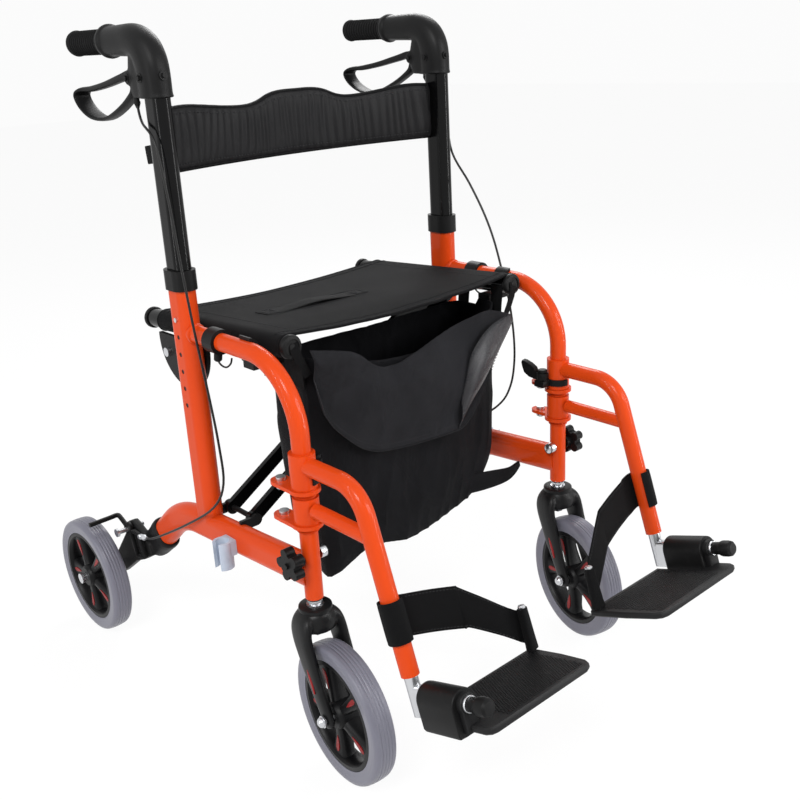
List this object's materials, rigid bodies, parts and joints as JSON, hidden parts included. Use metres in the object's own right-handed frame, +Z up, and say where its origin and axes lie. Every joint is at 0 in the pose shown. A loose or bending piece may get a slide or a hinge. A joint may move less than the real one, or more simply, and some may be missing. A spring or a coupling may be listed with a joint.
{
  "type": "rollator transport chair",
  "caption": "Folding rollator that is also a transport chair: tube side frames, telescopic handles with loop brakes, casters, sling seat, bag and swing-away footrests.",
  "frame": {"origin": "on the ground, at the middle of the object's bounding box", "axes": "+X to the user's left, -Y to the front (casters and footrests), +Z up"},
  "size_m": [0.698, 0.9878, 0.987],
  "materials": {
    "orange_paint": "gloss powder coat",
    "black_tube": "satin",
    "black_plastic": "moulded, fine grain",
    "grey_plastic": "smooth",
    "bright_steel": "zinc plated",
    "cable_black": "smooth sheath",
    "grip_rubber": "ribbed",
    "tyre": "smooth with fine grooves",
    "rim_black": "moulded",
    "fork_black": "moulded",
    "plate_black": "ribbed",
    "webbing": "woven",
    "seat_cloth": "woven nylon",
    "bag_cloth": "thin nylon",
    "back_cloth": "quilted nylon"
  },
  "bodies": {
    "right_frame": {"right_rear_post": "orange_paint", "right_rail": "orange_paint", "right_front_tube": "orange_paint", "right_fittings": "black_plastic", "right_cane_clip": "grey_plastic", "right_bracket": "black_plastic", "right_bolts": "bright_steel", "right_cable": "cable_black"},
    "right_handle": {"right_handle_tube": "black_tube", "right_elbow": "black_plastic", "right_grip": "grip_rubber", "backrest": "back_cloth"},
    "right_brake_lever": {"right_lever": "black_plastic"},
    "right_brake": {"right_brake_arm": "black_tube"},
    "right_rear_wheel": {"right_rear_tyre": "tyre", "right_rear_rim": "rim_black"},
    "right_caster": {"right_fork": "fork_black"},
    "right_front_wheel": {"right_front_tyre": "tyre", "right_front_rim": "rim_black"},
    "right_footrest": {"right_hanger": "orange_paint"},
    "right_latch_lever": {"right_latch": "black_plastic"},
    "right_leg_extension": {"right_leg": "bright_steel", "right_block": "black_plastic", "right_strap": "webbing"},
    "right_foot_plate": {"right_footplate": "plate_black"},
    "right_star_knob": {"right_knob": "black_plastic"},
    "left_frame": {"left_rear_post": "orange_paint", "left_rail": "orange_paint", "left_front_tube": "orange_paint", "left_fittings": "black_plastic", "left_cane_clip": "grey_plastic", "left_bracket": "black_plastic", "left_bolts": "bright_steel", "left_cable": "cable_black"},
    "left_handle": {"left_handle_tube": "black_tube", "left_elbow": "black_plastic", "left_grip": "grip_rubber"},
    "left_brake_lever": {"left_lever": "black_plastic"},
    "left_brake": {"left_brake_arm": "black_tube"},
    "left_rear_wheel": {"left_rear_tyre": "tyre", "left_rear_rim": "rim_black"},
    "left_caster": {"left_fork": "fork_black"},
    "left_front_wheel": {"left_front_tyre": "tyre", "left_front_rim": "rim_black"},
    "left_footrest": {"left_hanger": "orange_paint"},
    "left_latch_lever": {"left_latch": "black_plastic"},
    "left_leg_extension": {"left_leg": "bright_steel", "left_block": "black_plastic", "left_strap": "webbing"},
    "left_foot_plate": {"left_footplate": "plate_black"},
    "left_star_knob": {"left_knob": "black_plastic"},
    "cross_a": {"brace_a": "black_tube", "left_seat_tube": "black_tube", "seat_sling": "seat_cloth"},
    "cross_b": {"brace_b": "black_tube", "right_seat_tube": "black_tube"},
    "bag_hanging": {"bag": "bag_cloth", "bag_flap": "bag_cloth"}
  },
  "joints": [
    {"name": "fold", "type": "hinge", "parent": "right_frame", "child": "cross_a", "pos_m": [-0.225, 0.042, 0.3], "axis": [0, -1, 0], "range_deg": [0, 36], "deforming": ["seat_sling", "backrest", "bag", "bag_flap", "right_strap", "left_strap"]},
    {"name": "brace_cross", "type": "hinge", "parent": "cross_a", "child": "cross_b", "pos_m": [0, 0.042, 0.43902], "axis": [0, -1, 0], "range_deg": [-72.5, 0.5]},
    {"name": "left_brace_pivot", "type": "hinge", "parent": "cross_b", "child": "left_frame", "pos_m": [0.225, 0.042, 0.3], "axis": [0, -1, 0], "range_deg": [-0.5, 36.5]},
    {"name": "bag_lift", "type": "slide", "parent": "right_frame", "child": "bag_hanging", "axis": [-0.5191, 0, 0.8547], "range_m": [-0.002, 0.2422]},
    {"name": "right_handle_height", "type": "slide", "parent": "right_frame", "child": "right_handle", "axis": [0, 0, 1], "range_m": [-0.127, 0], "deforming": ["right_cable"]},
    {"name": "right_brake_squeeze", "type": "hinge", "parent": "right_handle", "child": "right_brake_lever", "pos_m": [-0.252, 0.138, 0.918], "axis": [1, 0, 0], "range_deg": [0, 12], "stiffness_Nm_per_rad": 3, "springref_deg": -8.59},
    {"name": "right_brake_press", "type": "hinge", "parent": "right_frame", "child": "right_brake", "pos_m": [-0.28, 0.322, 0.196], "axis": [-1, 0, 0], "range_deg": [-0.3, 8.3]},
    {"name": "right_rear_wheel_spin", "type": "hinge", "parent": "right_frame", "child": "right_rear_wheel", "pos_m": [-0.32, 0.395, 0.1], "axis": [1, 0, 0], "continuous": true},
    {"name": "right_caster_swivel", "type": "hinge", "parent": "right_frame", "child": "right_caster", "pos_m": [-0.252, -0.163, 0.225], "axis": [0, 0, 1], "continuous": true},
    {"name": "right_front_wheel_spin", "type": "hinge", "parent": "right_caster", "child": "right_front_wheel", "pos_m": [-0.25746, -0.21773, 0.1], "axis": [0.9951, -0.0993, 0], "continuous": true},
    {"name": "right_footrest_swing", "type": "hinge", "parent": "right_frame", "child": "right_footrest", "pos_m": [-0.252, -0.163, 0.4], "axis": [0, 0, -1], "range_deg": [0, 90]},
    {"name": "right_latch_turn", "type": "hinge", "parent": "right_footrest", "child": "right_latch_lever", "pos_m": [-0.225, -0.154, 0.435], "axis": [0, 0, -1], "range_deg": [0, 40]},
    {"name": "right_leg_length", "type": "slide", "parent": "right_footrest", "child": "right_leg_extension", "axis": [0, -0.3223, -0.9466], "range_m": [0, 0.05], "deforming": ["right_strap"]},
    {"name": "right_footplate_flip", "type": "hinge", "parent": "right_leg_extension", "child": "right_foot_plate", "pos_m": [-0.252, -0.42485, 0.22156], "axis": [0, -0.9466, 0.3223], "range_deg": [-0.5, 90.5], "deforming": ["right_strap"]},
    {"name": "right_knob_turn", "type": "hinge", "parent": "right_frame", "child": "right_star_knob", "pos_m": [-0.252, -0.163, 0.314], "axis": [1, 0, 0], "continuous": true},
    {"name": "left_handle_height", "type": "slide", "parent": "left_frame", "child": "left_handle", "axis": [0, 0, 1], "range_m": [-0.127, 0], "deforming": ["left_cable"]},
    {"name": "left_brake_squeeze", "type": "hinge", "parent": "left_handle", "child": "left_brake_lever", "pos_m": [0.252, 0.138, 0.918], "axis": [1, 0, 0], "range_deg": [0, 12], "stiffness_Nm_per_rad": 3, "springref_deg": -8.59},
    {"name": "left_brake_press", "type": "hinge", "parent": "left_frame", "child": "left_brake", "pos_m": [0.28, 0.322, 0.196], "axis": [-1, 0, 0], "range_deg": [-0.3, 8.3]},
    {"name": "left_rear_wheel_spin", "type": "hinge", "parent": "left_frame", "child": "left_rear_wheel", "pos_m": [0.32, 0.395, 0.1], "axis": [1, 0, 0], "continuous": true},
    {"name": "left_caster_swivel", "type": "hinge", "parent": "left_frame", "child": "left_caster", "pos_m": [0.252, -0.163, 0.225], "axis": [0, 0, 1], "continuous": true},
    {"name": "left_front_wheel_spin", "type": "hinge", "parent": "left_caster", "child": "left_front_wheel", "pos_m": [0.23832, -0.21627, 0.1], "axis": [0.9686, -0.2487, 0], "continuous": true},
    {"name": "left_footrest_swing", "type": "hinge", "parent": "left_frame", "child": "left_footrest", "pos_m": [0.252, -0.163, 0.4], "axis": [0, 0, 1], "range_deg": [0, 90]},
    {"name": "left_latch_turn", "type": "hinge", "parent": "left_footrest", "child": "left_latch_lever", "pos_m": [0.225, -0.154, 0.435], "axis": [0, 0, 1], "range_deg": [0, 40]},
    {"name": "left_leg_length", "type": "slide", "parent": "left_footrest", "child": "left_leg_extension", "axis": [0, -0.3223, -0.9466], "range_m": [0, 0.05], "deforming": ["left_strap"]},
    {"name": "left_footplate_flip", "type": "hinge", "parent": "left_leg_extension", "child": "left_foot_plate", "pos_m": [0.252, -0.42485, 0.22156], "axis": [0, 0.9466, -0.3223], "range_deg": [-0.5, 90.5], "deforming": ["left_strap"]},
    {"name": "left_knob_turn", "type": "hinge", "parent": "left_frame", "child": "left_star_knob", "pos_m": [0.252, -0.163, 0.314], "axis": [1, 0, 0], "continuous": true}
  ],
  "couplings": [
    {"joint": "brace_cross", "follows": "fold", "ratio": -2},
    {"joint": "left_brace_pivot", "follows": "fold", "ratio": 1},
    {"joint": "bag_lift", "follows": "fold", "m_per_rad": 0.38228},
    {"joint": "right_brake_press", "follows": "right_brake_squeeze", "ratio": 0.66667},
    {"joint": "right_footplate_flip", "follows": "fold", "ratio": 2.5},
    {"joint": "left_brake_press", "follows": "left_brake_squeeze", "ratio": 0.66667},
    {"joint": "left_footplate_flip", "follows": "fold", "ratio": 2.5},
    {"joint": "left_handle_height", "follows": "right_handle_height", "ratio": 1}
  ]
}
